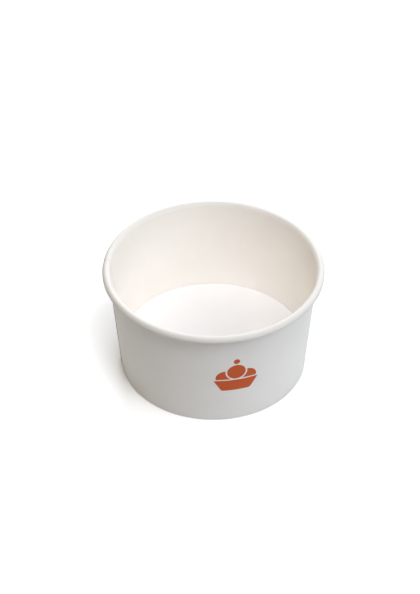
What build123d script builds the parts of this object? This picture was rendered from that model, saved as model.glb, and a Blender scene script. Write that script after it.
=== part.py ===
from build123d import *
from math import asin, atan2, cos, degrees, sin, tan
import os

# A paper sundae cup: a wide, shallow tub of about 240 ml, rolled from two pieces of white paperboard.
# The sidewall is one blank, rolled into a cone and lapped at a side seam. Its top edge is curled
# outwards into the rim's bead, and its bottom edge is folded inwards and up into a hem.
# The base disc is a second blank, with its edge turned down into a skirt. The skirt sits in the
# pocket between the sidewall and the hem, so the floor stands clear of the table.
# A small mark is printed on the front.
#
# Millimetres, +Z up. The origin is on the table at the centre of the foot, and -Y is the front, where
# the mark is printed. Azimuths are about +Z from +X.
# A "skin" is a depth through the sidewall's board, from 0 on the food side to `board` on the outside.

# The cup's overall form
rim_diameter = 98.0
cup_height = 53.5
foot_diameter = 83.6
floor_height = 9.1

# The sidewall's board, and how it is curled and folded
board = 0.36
bead_diameter = 3.44
curl_clearance = 0.06
fold_radius = 0.05
hem_clearance = 0.8

# The side seam: the lap of the two ends, and the length over which an end steps clear of the other
seam_lap = 7.0
seam_step = 2.4

# The base disc
base_board = 0.30
base_bend_radius = 0.5
glue_line = 0.03
skirt_clearance = 0.12

# The printed mark: a dish, three scoops and a cherry, each a field of the one ink
ink = 0.04
mark_middle_height = 28.2
mark_gap = 0.75
dish_top_width = 19.6
dish_bottom_width = 12.6
dish_height = 6.2
dish_corner_radius = 1.6
scoop_radius = 4.1
side_scoop_offset = 4.9
side_scoop_rise = 0.9
top_scoop_rise = 4.2
cherry_radius = 1.4

# The seam is a little past a quarter turn from the mark, and the cut end outside faces the mark
front_azimuth = -90.0
seam_from_front = -102.0
seam_azimuth = front_azimuth + seam_from_front

# The wall's slope: its outside leaves the foot's edge and runs up to the bead, tangent to the curl
bead_radius = bead_diameter / 2
bead_centre = Vector(rim_diameter / 2 - bead_radius, cup_height - bead_radius)
foot_edge = Vector(foot_diameter / 2, 0)
to_bead = bead_centre - foot_edge
slope = atan2(to_bead.X, to_bead.Y) - asin((bead_radius - board) / to_bead.length)
outwards = Vector(cos(slope), -sin(slope))
outward_angle = -degrees(slope)

# The curl goes over and down on the first half turn, and under and back up on a smaller second one,
# which leaves room beside the wall for both ends of the board where they lap
curl_step = (2 * board + curl_clearance) / 2
tail_radius = bead_radius - curl_step
tail_centre = bead_centre + outwards * curl_step

# The pocket between the sidewall and the hem holds the base disc's skirt, and the hem ends below its bend
pocket = base_board + 2 * glue_line
bend_height = floor_height - base_bend_radius
hem_height = bend_height - hem_clearance


def on_wall(skin, height):
    """The point of the section on the wall's line, that deep in the board, at that height."""
    radius = foot_edge.X + height * tan(slope) + (skin - board) / cos(slope)
    return Vector(radius, height)


def sheet_line(skin, lift):
    """The sidewall's section at one depth in its board: hem, foot fold, wall and curl, in that order.

    `lift` raises the fold off the table, as where another end of the board passes under it.
    """
    fold_height = board + fold_radius + lift
    hem_centre = on_wall(fold_radius - pocket, fold_height)
    wall_centre = on_wall(-fold_radius, fold_height)
    bend = fold_radius + skin
    down = Vector(0, -bend)
    return [
        Line(on_wall(-pocket - skin, hem_height), hem_centre - outwards * bend),
        CenterArc(hem_centre, bend, 180 + outward_angle, 90 - outward_angle),
        Line(hem_centre + down, wall_centre + down),
        CenterArc(wall_centre, bend, 270, 90 + outward_angle),
        Line(wall_centre + outwards * bend, bead_centre - outwards * (bead_radius - skin)),
        CenterArc(bead_centre, bead_radius - skin, 180 + outward_angle, -180),
        CenterArc(tail_centre, tail_radius - skin, outward_angle, -180),
    ]


def sheet_section(skin, lift, azimuth):
    """The section of one thickness of the sidewall's board, whose food side is at that skin."""
    near, far = sheet_line(skin, lift), sheet_line(skin + board, lift)
    cut_edges = [Line(near[0] @ 0, far[0] @ 0), Line(near[-1] @ 1, far[-1] @ 1)]
    return Rot(0, 0, azimuth) * (Plane.XZ * make_face(near + far + cut_edges))


def turn(section, arc):
    """The section, turned about the cup's axis."""
    return revolve(section, axis=Axis.Z, revolution_arc=arc)


def make_sidewall():
    """The rolled blank, with its outer end lapped over its inner end at the side seam.

    Beside the lap the board steps outwards by its own thickness, so that it passes outside the inner end.
    The inner end's foot fold is lifted for the outer end to pass under it, and the foot stays flat.
    """
    lap = degrees(seam_lap / foot_edge.X)
    step = degrees(seam_step / foot_edge.X)
    inner_cut = seam_azimuth - lap / 2
    outer_cut = seam_azimuth + lap / 2
    inner_end = turn(sheet_section(0, board, inner_cut), lap)
    outer_end = turn(sheet_section(board, board, inner_cut), lap)
    inner_step = loft(
        [sheet_section(0, board, outer_cut), sheet_section(0, 0, outer_cut + step)], ruled=True
    )
    plain_wall = turn(sheet_section(0, 0, outer_cut + step), 360 - lap - 2 * step)
    outer_step = loft(
        [sheet_section(0, 0, inner_cut - step), sheet_section(board, board, inner_cut)], ruled=True
    )
    return plain_wall + inner_step + inner_end + outer_end + outer_step


def make_base_disc():
    """The floor, with its edge bent down into a skirt that lies along the sidewall's food side."""
    skirt_foot = 2 * board + fold_radius + skirt_clearance
    bend_centre = on_wall(-glue_line - base_bend_radius, bend_height)
    underside_bend = base_bend_radius - base_board
    up = Vector(0, 1)
    top_middle = Vector(0, floor_height)
    under_middle = Vector(0, floor_height - base_board)
    outline = [
        Line(top_middle, bend_centre + up * base_bend_radius),
        CenterArc(bend_centre, base_bend_radius, 90, outward_angle - 90),
        Line(bend_centre + outwards * base_bend_radius, on_wall(-glue_line, skirt_foot)),
        Line(on_wall(-glue_line, skirt_foot), on_wall(-glue_line - base_board, skirt_foot)),
        Line(on_wall(-glue_line - base_board, skirt_foot), bend_centre + outwards * underside_bend),
        CenterArc(bend_centre, underside_bend, outward_angle, 90 - outward_angle),
        Line(bend_centre + up * underside_bend, under_middle),
        Line(under_middle, top_middle),
    ]
    return turn(Plane.XZ * make_face(outline), 360)


def mark_outline():
    """The mark's flat shapes, with the middle of the dish's bottom edge at the origin, and their height."""
    half_top, half_bottom = dish_top_width / 2, dish_bottom_width / 2
    corners = [(-half_top, dish_height), (half_top, dish_height), (half_bottom, 0), (-half_bottom, 0)]
    dish = make_face(Polyline(*corners, close=True))
    dish = fillet(dish.vertices().group_by(Axis.Y)[0], dish_corner_radius)
    scoop_line = dish_height + mark_gap
    top_scoop_height = scoop_line + top_scoop_rise
    top_scoop = Pos(0, top_scoop_height) * Circle(scoop_radius)
    around_top_scoop = Pos(0, top_scoop_height) * Circle(scoop_radius + mark_gap)
    below_scoops = Pos(0, scoop_line) * Rectangle(
        2 * dish_top_width, 2 * scoop_radius, align=(Align.CENTER, Align.MAX)
    )
    side_scoops = []
    for side in (-1, 1):
        scoop = Pos(side * side_scoop_offset, scoop_line + side_scoop_rise) * Circle(scoop_radius)
        side_scoops.append(scoop - around_top_scoop - below_scoops)
    cherry_height = top_scoop_height + scoop_radius + mark_gap + cherry_radius
    cherry = Pos(0, cherry_height) * Circle(cherry_radius)
    return [dish, *side_scoops, top_scoop, cherry], cherry_height + cherry_radius


def make_printed_mark():
    """The mark's shapes, laid on the outside of the sidewall at the front as a layer of ink."""
    shapes, height = mark_outline()
    low = mark_middle_height - height / 2
    high = low + height
    inner, outer = [(on_wall(skin, low), on_wall(skin, high)) for skin in (board, board + ink)]
    strip = Plane.XZ * make_face(Polyline(inner[0], outer[0], outer[1], inner[1], close=True))
    reach = degrees(dish_top_width / foot_edge.X)
    layer = turn(Rot(0, 0, front_azimuth - reach) * strip, 2 * reach)
    solids = []
    for shape in shapes:
        stamp = extrude(Plane.XZ * (Pos(0, low) * shape), rim_diameter)
        solids += (layer & stamp).solids()
    return Compound(solids)


os.makedirs("parts", exist_ok=True)
export_step(make_sidewall(), "parts/sidewall.step")
export_step(make_base_disc(), "parts/base_disc.step")
export_step(make_printed_mark(), "parts/printed_mark.step")
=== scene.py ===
from math import asin, atan2, cos, pi, radians, sin, tan

import bpy
import numpy as np
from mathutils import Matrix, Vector


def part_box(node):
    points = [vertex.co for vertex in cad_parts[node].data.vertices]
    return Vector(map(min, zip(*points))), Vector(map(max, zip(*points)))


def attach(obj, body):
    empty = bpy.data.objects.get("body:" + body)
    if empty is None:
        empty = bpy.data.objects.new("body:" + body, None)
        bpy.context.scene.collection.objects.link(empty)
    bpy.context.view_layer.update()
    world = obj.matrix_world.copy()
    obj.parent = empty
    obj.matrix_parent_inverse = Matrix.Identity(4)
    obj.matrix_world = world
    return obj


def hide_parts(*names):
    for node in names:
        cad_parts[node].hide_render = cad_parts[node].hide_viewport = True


# The looks of a paper sundae cup. Lengths are in metres, in the model's own frame: +Z up, the table at
# height 0, and -Y the front, where the mark is printed. Azimuths are about +Z from +X, in radians.

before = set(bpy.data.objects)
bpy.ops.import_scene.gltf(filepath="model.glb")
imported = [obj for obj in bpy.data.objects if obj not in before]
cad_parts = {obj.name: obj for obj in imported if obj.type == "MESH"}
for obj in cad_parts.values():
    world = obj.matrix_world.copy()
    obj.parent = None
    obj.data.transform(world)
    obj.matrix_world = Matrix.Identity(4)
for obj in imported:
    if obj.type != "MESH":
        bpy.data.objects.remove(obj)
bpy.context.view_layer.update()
MM = 0.001

# The sidewall's board, as the model has it: its form comes from the nodes' own boxes and these sizes
BOARD = 0.36 * MM
BEAD_DIAMETER = 3.44 * MM
CURL_CLEARANCE = 0.06 * MM
FOLD_RADIUS = 0.05 * MM
FOOT_RADIUS = 41.8 * MM
HEM_CLEARANCE = 0.8 * MM
SEAM_LAP = 7.0 * MM
SEAM_STEP = 2.4 * MM
LAP_GAP = 0.005 * MM

# The side seam's middle, from the mark's own azimuth
MARK_DEGREES, SEAM_FROM_MARK_DEGREES = -90, -102
SEAM_AZIMUTH = radians(MARK_DEGREES + SEAM_FROM_MARK_DEGREES)

# The base disc's board
BASE_BOARD = 0.30 * MM
BASE_BEND_RADIUS = 0.5 * MM
GLUE_LINE = 0.03 * MM
SKIRT_FOOT = 0.89 * MM

# How finely each stretch of the sidewall's section, and each stretch round the cup, is divided
HEM_SPANS, FOLD_SPANS, FOOT_SPANS, WALL_SPANS, CURL_SPANS, TAIL_SPANS = 8, 6, 1, 20, 24, 18
PLAIN_COLUMNS, LAP_COLUMNS, STEP_COLUMNS = 480, 10, 10

# The first spans of the curl, over which the painted shade on the bead rises from none to full
RISING_SPANS = CURL_SPANS // 3

# How finely the base disc is divided, and the radius of the flat in its middle
DISC_SPANS, BASE_BEND_SPANS, SKIRT_SPANS = 24, 12, 8
BASE_COLUMNS = 480
MIDDLE_RADIUS = 0.5 * MM

# Edges that bend by more than this are sharp
SHARP_ANGLE = radians(40)

# A piece's materials, in the order of its slots
FOOD_SIDE, OUTSIDE, CUT_EDGE = range(3)

# The noises in the materials: scale in clouds to the metre, detail and roughness
CLOUDS = (90.0, 3.0, 0.6)
FIBRES = (2600.0, 2.0, 0.7)
WAVES = (55.0, 1.0, 0.5)
TOOTH = (2200.0, 3.0, 0.7)

# How much the fibres count in a board's colour beside the clouds
FIBRE_SHARE = 0.35

# Where the noise makes board and ink dark, and where pale
BOARD_DARK_AT, BOARD_PALE_AT = 0.35, 0.95
INK_DARK_AT, INK_PALE_AT = 0.3, 0.7

# How deep the noises go into a surface
WAVE_DEPTH = 0.02 * MM
FIBRE_DEPTH = 0.004 * MM
CUT_FIBRE_DEPTH = 0.02 * MM
TOOTH_DEPTH = 0.003 * MM

# The gloss of board and ink alike
SPECULAR_LEVEL = 0.2

# What a board's colour is multiplied by on the bead: painted shade, which makes the whole bead darker than
# the wall's board
UNCHANGED = (1, 1, 1)
BEAD_PAINTED_SHADE = (0.86, 0.865, 0.87)

# The sockets of the nodes that mix colours and shaders
MIX_SHARE, MIX_FIRST, MIX_SECOND, MIX_RESULT = 0, 6, 7, 2
SHADER_SHARE, SHADER_FIRST, SHADER_SECOND = 0, 1, 2

# The white floor under the cup, as far as the lamps light it to white: what it bounces, and what is seen
FLOOR_RADIUS = 380 * MM
FLOOR_SIDES = 96
FLOOR_DROP = 0.01 * MM
FLOOR_BOUNCED = (0.7, 0.7, 0.7)
FLOOR_SEEN = (1.17, 1.18, 1.19)

# The colours of the lamps and the world
WHITE = (1.0, 1.0, 1.0)
PALE_DAY = (0.965, 0.978, 1.0)
DAYLIGHT = (0.89, 0.936, 1.0)
LATE_DAY = (1.0, 0.82, 0.53)
LAMPLIGHT = (1.0, 0.61, 0.12)

# The lamps, all of that size and that far from the cup: azimuth and elevation in degrees, power in watts,
# and colour. These azimuths go from the camera's side, 0, by its right, 90.
LAMP_SIZE = 500 * MM
LAMP_REACH = 1200 * MM
LAMPS = {
    "top": (0, 74, 7.0, PALE_DAY),
    "front_right": (30, 52, 3.6, PALE_DAY),
    "right": (60, 30, 1.6, DAYLIGHT),
    "far_right": (90, 30, 2.6, PALE_DAY),
    "back_right": (150, 30, 2.9, WHITE),
    "back": (180, 30, 6.6, DAYLIGHT),
    "back_left": (240, 30, 1.25, LATE_DAY),
    "front_left": (300, 30, 0.7, LAMPLIGHT),
}

# The camera's place and aim, fitted to the photograph's outlines of the rim, wall, floor and foot
CAMERA_AZIMUTH = radians(-13.03)
CAMERA_REACH = 615.5 * MM
CAMERA_HEIGHT = 551.8 * MM
CAMERA_PITCH = radians(39.977)
CAMERA_YAW = radians(-0.145)
CAMERA_LENS = 109.09
CAMERA_SENSOR = 36.0

rim_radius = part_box("sidewall")[1].x
cup_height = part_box("sidewall")[1].z
floor_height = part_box("base_disc")[1].z

# The wall's slope, from the foot's edge up to the bead, tangent to the curl
bead_radius = BEAD_DIAMETER / 2
bead_centre = np.array([rim_radius - bead_radius, cup_height - bead_radius])
to_bead = bead_centre - np.array([FOOT_RADIUS, 0])
slope = atan2(to_bead[0], to_bead[1]) - asin((bead_radius - BOARD) / np.hypot(*to_bead))
outwards = np.array([cos(slope), -sin(slope)])

# The curl's smaller second half turn, and the pocket for the base disc's skirt
curl_step = (2 * BOARD + CURL_CLEARANCE) / 2
tail_radius = bead_radius - curl_step
tail_centre = bead_centre + outwards * curl_step
pocket = BASE_BOARD + 2 * GLUE_LINE
bend_height = floor_height - BASE_BEND_RADIUS
hem_height = bend_height - HEM_CLEARANCE


def on_wall(skin, height):
    """The point of the section on the wall's line, that deep in the board, at that height."""
    return np.array([FOOT_RADIUS + height * tan(slope) + (skin - BOARD) / cos(slope), height])


def straight(start, end, spans):
    """Points along a straight stretch of a section."""
    shares = np.linspace(0, 1, spans + 1)[:, None]
    return start + shares * (end - start)


def arc(centre, radius, start, sweep, spans):
    """Points along an arc of a section."""
    angles = start + sweep * np.linspace(0, 1, spans + 1)
    return centre + radius * np.column_stack([np.cos(angles), np.sin(angles)])


def joined(stretches):
    """One line through all the stretches, without the points that two of them share."""
    return np.vstack([stretches[0]] + [stretch[1:] for stretch in stretches[1:]])


def sheet_line(skin, lift):
    """The sidewall's section at one depth in its board: hem, foot fold, wall and curl."""
    fold_height = BOARD + FOLD_RADIUS + lift
    hem_centre = on_wall(FOLD_RADIUS - pocket, fold_height)
    wall_centre = on_wall(-FOLD_RADIUS, fold_height)
    bend = FOLD_RADIUS + skin
    down = np.array([0, -bend])
    bead_start = bead_centre - outwards * (bead_radius - skin)
    return joined([
        straight(on_wall(-pocket - skin, hem_height), hem_centre - outwards * bend, HEM_SPANS),
        arc(hem_centre, bend, pi - slope, pi / 2 + slope, FOLD_SPANS),
        straight(hem_centre + down, wall_centre + down, FOOT_SPANS),
        arc(wall_centre, bend, -pi / 2, pi / 2 - slope, FOLD_SPANS),
        straight(wall_centre + outwards * bend, bead_start, WALL_SPANS),
        arc(bead_centre, bead_radius - skin, pi - slope, -pi, CURL_SPANS),
        arc(tail_centre, tail_radius - skin, -slope, -pi, TAIL_SPANS),
    ])


def base_outline():
    """The base disc's section: its top, out and down to the skirt's foot, and its underside, back in."""
    bend_centre = on_wall(-GLUE_LINE - BASE_BEND_RADIUS, bend_height)
    inner_bend = BASE_BEND_RADIUS - BASE_BOARD
    top_middle = np.array([MIDDLE_RADIUS, floor_height])
    under_middle = np.array([MIDDLE_RADIUS, floor_height - BASE_BOARD])
    top = straight(top_middle, bend_centre + np.array([0, BASE_BEND_RADIUS]), DISC_SPANS)
    top_bend = arc(bend_centre, BASE_BEND_RADIUS, pi / 2, -slope - pi / 2, BASE_BEND_SPANS)
    outside = straight(top_bend[-1], on_wall(-GLUE_LINE, SKIRT_FOOT), SKIRT_SPANS)
    inside_foot = on_wall(-GLUE_LINE - BASE_BOARD, SKIRT_FOOT)
    inside = straight(inside_foot, bend_centre + outwards * inner_bend, SKIRT_SPANS)
    under_bend = arc(bend_centre, inner_bend, -slope, pi / 2 + slope, BASE_BEND_SPANS)
    under = straight(under_bend[-1], under_middle, DISC_SPANS)
    return joined([top, top_bend, outside]), joined([inside, under_bend, under])


def turned(line, azimuth):
    """A section's points, stood up in space at an azimuth."""
    return np.column_stack([line[:, 0] * cos(azimuth), line[:, 0] * sin(azimuth), line[:, 1]])


def make_mesh(name, points, faces, slots, materials):
    """A piece made of those points and faces, smooth but for its sharp edges."""
    mesh = bpy.data.meshes.new(name)
    mesh.from_pydata(points.tolist(), [], faces)
    for material in materials:
        mesh.materials.append(material)
    mesh.polygons.foreach_set("material_index", slots)
    mesh.polygons.foreach_set("use_smooth", [True] * len(faces))
    mesh.set_sharp_from_angle(angle=SHARP_ANGLE)
    mesh.validate()
    piece = bpy.data.objects.new(name, mesh)
    bpy.context.scene.collection.objects.link(piece)
    return piece


def smooth_step(share):
    """A share from 0 to 1, eased at both ends."""
    return share * share * (3 - 2 * share)


def sheet_columns():
    """Azimuth, skin and lift of each column of the rolled sheet, from its inner end to its outer end."""
    lap, step = SEAM_LAP / FOOT_RADIUS, SEAM_STEP / FOOT_RADIUS
    inner_cut = SEAM_AZIMUTH - lap / 2
    outer_cut = SEAM_AZIMUTH + lap / 2
    lapped = BOARD + LAP_GAP
    columns = []
    for share in np.linspace(0, 1, LAP_COLUMNS + 1):
        columns.append((inner_cut + share * lap, 0.0, lapped))
    for share in np.linspace(0, 1, STEP_COLUMNS + 1)[1:]:
        columns.append((outer_cut + share * step, 0.0, lapped * smooth_step(1 - share)))
    for share in np.linspace(0, 1, PLAIN_COLUMNS + 1)[1:]:
        columns.append((outer_cut + step + share * (2 * pi - lap - 2 * step), 0.0, 0.0))
    for share in np.linspace(0, 1, STEP_COLUMNS + 1)[1:]:
        out = lapped * smooth_step(share)
        columns.append((inner_cut + 2 * pi + (share - 1) * step, out, out))
    for share in np.linspace(0, 1, LAP_COLUMNS + 1)[1:]:
        columns.append((inner_cut + 2 * pi + share * lap, lapped, lapped))
    return columns


def bead_shade_shares():
    """How much of the bead's painted shade each point of the section takes: 0 on the wall, 1 beyond the
    rising spans.
    """
    flat = HEM_SPANS + FOLD_SPANS + FOOT_SPANS + FOLD_SPANS + WALL_SPANS
    rising = [smooth_step(share) for share in np.linspace(0, 1, RISING_SPANS + 1)]
    length = flat + CURL_SPANS + TAIL_SPANS + 1
    return np.array([0.0] * flat + rising + [1.0] * (length - flat - len(rising)))


def make_sidewall(materials):
    """The rolled sheet: one strip of board, whose outer end laps over its inner end outside."""
    columns = sheet_columns()
    bead_shade = bead_shade_shares()
    side = len(bead_shade)
    ring = 2 * side
    points = []
    for azimuth, skin, lift in columns:
        near, far = sheet_line(skin, lift), sheet_line(skin + BOARD, lift)
        points.append(turned(np.vstack([near, far[::-1]]), azimuth))
    faces, slots = [], []
    around = [FOOD_SIDE] * (side - 1) + [CUT_EDGE] + [OUTSIDE] * (side - 1) + [CUT_EDGE]
    for column in range(len(columns) - 1):
        here, there = column * ring, (column + 1) * ring
        for k in range(ring):
            after = (k + 1) % ring
            faces.append((here + k, here + after, there + after, there + k))
        slots += around
    for base, flip in ((0, True), ((len(columns) - 1) * ring, False)):
        for k in range(side - 1):
            corners = (base + k, base + k + 1, base + ring - 2 - k, base + ring - 1 - k)
            faces.append(corners[::-1] if flip else corners)
            slots.append(CUT_EDGE)
    piece = make_mesh("rolled_sidewall", np.vstack(points), faces, slots, materials)
    # Each point's share of the bead's painted shade, on both faces of the board
    curl = piece.data.attributes.new("curl", "FLOAT", "POINT")
    curl.data.foreach_set("value", np.tile(np.concatenate([bead_shade, bead_shade[::-1]]), len(columns)))
    return piece


def make_base(materials):
    """The raised floor and its turned-down skirt."""
    over, under = base_outline()
    line = np.vstack([over, under])
    ring = len(line)
    points = [turned(line, 2 * pi * k / BASE_COLUMNS) for k in range(BASE_COLUMNS)]
    faces, slots = [], []
    along = [FOOD_SIDE] * (len(over) - 1) + [CUT_EDGE] + [OUTSIDE] * (len(under) - 1)
    for column in range(BASE_COLUMNS):
        here, there = column * ring, (column + 1) % BASE_COLUMNS * ring
        for k in range(ring - 1):
            faces.append((here + k, here + k + 1, there + k + 1, there + k))
        slots += along
    top_corners = [column * ring for column in range(BASE_COLUMNS)]
    faces.append(tuple(top_corners))
    faces.append(tuple(corner + ring - 1 for corner in reversed(top_corners)))
    slots += [FOOD_SIDE, OUTSIDE]
    return make_mesh("raised_floor", np.vstack(points), faces, slots, materials)


def node_adder(tree):
    """Empties a node tree, and gives a function that adds nodes to it."""
    tree.nodes.clear()

    def add(kind, inputs, **settings):
        """A new node. Each of its inputs is given as a value, or as the output that it is linked to."""
        node = tree.nodes.new(kind)
        for key, value in settings.items():
            setattr(node, key, value)
        for key, value in inputs.items():
            if isinstance(value, bpy.types.NodeSocket):
                tree.links.new(value, node.inputs[key])
            else:
                node.inputs[key].default_value = value
        return node

    return add


def new_material(name):
    """An empty material, and the function that adds nodes to it."""
    material = bpy.data.materials.new(name)
    material.use_nodes = True
    return material, node_adder(material.node_tree)


def add_noise(add, scale, detail, roughness):
    """A cloudy noise, fixed to the piece."""
    place = add("ShaderNodeTexCoord", {}).outputs["Object"]
    inputs = {"Vector": place, "Scale": scale, "Detail": detail, "Roughness": roughness}
    return add("ShaderNodeTexNoise", inputs).outputs["Fac"]


def add_ramp(add, share, dark, dark_at, pale, pale_at):
    """A colour that goes from dark to pale as a share rises."""
    node = add("ShaderNodeValToRGB", {"Fac": share})
    low, high = node.color_ramp.elements
    low.position, low.color = dark_at, (*dark, 1)
    high.position, high.color = pale_at, (*pale, 1)
    return node.outputs["Color"]


def add_bump(add, height, depth, under=None):
    """The normals of a surface that rises and falls by that depth, on top of other ones if there are any."""
    inputs = {"Strength": 1.0, "Distance": depth, "Height": height}
    if under is not None:
        inputs["Normal"] = under
    return add("ShaderNodeBump", inputs).outputs["Normal"]


def add_surface(add, colour, roughness, normal):
    """The material's matt surface."""
    inputs = {"Base Color": colour, "Roughness": roughness, "Normal": normal}
    inputs["Specular IOR Level"] = SPECULAR_LEVEL
    shader = add("ShaderNodeBsdfPrincipled", inputs)
    add("ShaderNodeOutputMaterial", {"Surface": shader.outputs[0]})


def board_material(name, pale, dark, roughness, fibre_depth=FIBRE_DEPTH, bead_shade=UNCHANGED):
    """Paperboard: a colour that drifts a little, with the fibres and slight waves of pressed paper.

    The last argument is what the colour is multiplied by over the bead: a painted shade that darkens it.
    """
    material, add = new_material(name)
    clouds = add_noise(add, *CLOUDS)
    fibres = add_noise(add, *FIBRES)
    drift = add("ShaderNodeMath", {0: fibres, 1: FIBRE_SHARE, 2: clouds}, operation="MULTIPLY_ADD")
    plain = add_ramp(add, drift.outputs[0], dark, BOARD_DARK_AT, pale, BOARD_PALE_AT)
    # Painted shade: the colour is darkened over the bead by the attribute's share
    curl = add("ShaderNodeAttribute", {}, attribute_name="curl").outputs["Fac"]
    inputs = {MIX_SHARE: curl, MIX_FIRST: plain, MIX_SECOND: (*bead_shade, 1)}
    colour = add("ShaderNodeMix", inputs, data_type="RGBA", blend_type="MULTIPLY").outputs[MIX_RESULT]
    waves = add_bump(add, add_noise(add, *WAVES), WAVE_DEPTH)
    add_surface(add, colour, roughness, add_bump(add, fibres, fibre_depth, under=waves))
    return material


def ink_material(name, pale, dark, roughness):
    """Matt printing ink on board, with the paper's tooth showing faintly through it."""
    material, add = new_material(name)
    tooth = add_noise(add, *TOOTH)
    colour = add_ramp(add, tooth, dark, INK_DARK_AT, pale, INK_PALE_AT)
    add_surface(add, colour, roughness, add_bump(add, tooth, TOOTH_DEPTH))
    return material


def floor_material():
    """A white floor that keeps the cup's shadow, and that is seen brighter than it bounces light."""
    material, add = new_material("white_floor")
    rays = add("ShaderNodeLightPath", {}).outputs
    direct = add("ShaderNodeMath", {0: rays["Is Camera Ray"], 1: rays["Is Glossy Ray"]}, operation="MAXIMUM")
    bounced = add("ShaderNodeBsdfDiffuse", {"Color": (*FLOOR_BOUNCED, 1)})
    seen = add("ShaderNodeBsdfDiffuse", {"Color": (*FLOOR_SEEN, 1)})
    inputs = {
        SHADER_SHARE: direct.outputs[0],
        SHADER_FIRST: bounced.outputs[0],
        SHADER_SECOND: seen.outputs[0],
    }
    mix = add("ShaderNodeMixShader", inputs)
    add("ShaderNodeOutputMaterial", {"Surface": mix.outputs[0]})
    return material


def make_floor():
    """The round floor, a hair below the cup's foot."""
    angles = [2 * pi * k / FLOOR_SIDES for k in range(FLOOR_SIDES)]
    corners = [(FLOOR_RADIUS * cos(angle), FLOOR_RADIUS * sin(angle), 0) for angle in angles]
    mesh = bpy.data.meshes.new("floor")
    mesh.from_pydata(corners, [], [tuple(range(FLOOR_SIDES))])
    mesh.materials.append(floor_material())
    floor = bpy.data.objects.new("floor", mesh)
    floor.location.z = -FLOOR_DROP
    bpy.context.scene.collection.objects.link(floor)


def make_world():
    """A world that gives no light, and that the camera sees as white."""
    world = bpy.data.worlds.new("studio")
    world.use_nodes = True
    add = node_adder(world.node_tree)
    rays = add("ShaderNodeLightPath", {}).outputs
    background = add("ShaderNodeBackground", {"Color": (*WHITE, 1), "Strength": rays["Is Camera Ray"]})
    add("ShaderNodeOutputWorld", {"Surface": background.outputs[0]})
    bpy.context.scene.world = world


def make_lamp(name, azimuth, elevation, power, colour):
    """A square soft box that faces the cup."""
    turn = radians(azimuth) + CAMERA_AZIMUTH
    rise = radians(elevation)
    back = Vector((sin(turn) * cos(rise), -cos(turn) * cos(rise), sin(rise)))
    light = bpy.data.lights.new(name, "AREA")
    light.size = LAMP_SIZE
    light.energy = power
    light.color = colour
    lamp = bpy.data.objects.new(name, light)
    lamp.location = Vector((0, 0, cup_height / 2)) + back * LAMP_REACH
    lamp.rotation_mode = "QUATERNION"
    lamp.rotation_quaternion = back.to_track_quat("Z", "Y")
    bpy.context.scene.collection.objects.link(lamp)


def make_camera():
    """The photograph's viewpoint."""
    data = bpy.data.cameras.new("camera")
    data.sensor_width = CAMERA_SENSOR
    data.lens = CAMERA_LENS
    camera = bpy.data.objects.new("camera", data)
    camera.location = (
        CAMERA_REACH * sin(CAMERA_AZIMUTH),
        -CAMERA_REACH * cos(CAMERA_AZIMUTH),
        CAMERA_HEIGHT,
    )
    camera.rotation_euler = (pi / 2 - CAMERA_PITCH, 0, CAMERA_AZIMUTH - CAMERA_YAW)
    bpy.context.scene.collection.objects.link(camera)
    bpy.context.scene.camera = camera


# The food side's board, painted darker over the bead as shade
food_side = board_material(
    "food_side_board",
    pale=(0.960, 0.925, 0.880),
    dark=(0.936, 0.901, 0.856),
    roughness=0.5,
    bead_shade=BEAD_PAINTED_SHADE,
)
floor_side = board_material(
    "floor_board",
    pale=(0.906, 0.887, 0.883),
    dark=(0.882, 0.863, 0.859),
    roughness=0.5,
)
outer_board = board_material(
    "outer_board",
    pale=(0.930, 0.922, 0.899),
    dark=(0.905, 0.897, 0.874),
    roughness=0.55,
)
cut_edge = board_material(
    "cut_board_edge",
    pale=(0.80, 0.76, 0.70),
    dark=(0.70, 0.66, 0.60),
    roughness=0.9,
    fibre_depth=CUT_FIBRE_DEPTH,
)
ink = ink_material("orange_print", pale=(0.65, 0.113, 0.023), dark=(0.60, 0.098, 0.019), roughness=0.5)

sidewall = make_sidewall([food_side, outer_board, cut_edge])
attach(sidewall, "root")
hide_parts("sidewall")

base = make_base([floor_side, outer_board, cut_edge])
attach(base, "root")
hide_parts("base_disc")

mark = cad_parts["printed_mark"]
mark.data.materials.clear()
mark.data.materials.append(ink)

make_floor()
make_world()
for name, settings in LAMPS.items():
    make_lamp(name, *settings)
make_camera()
bpy.context.scene.view_settings.view_transform = "Standard"
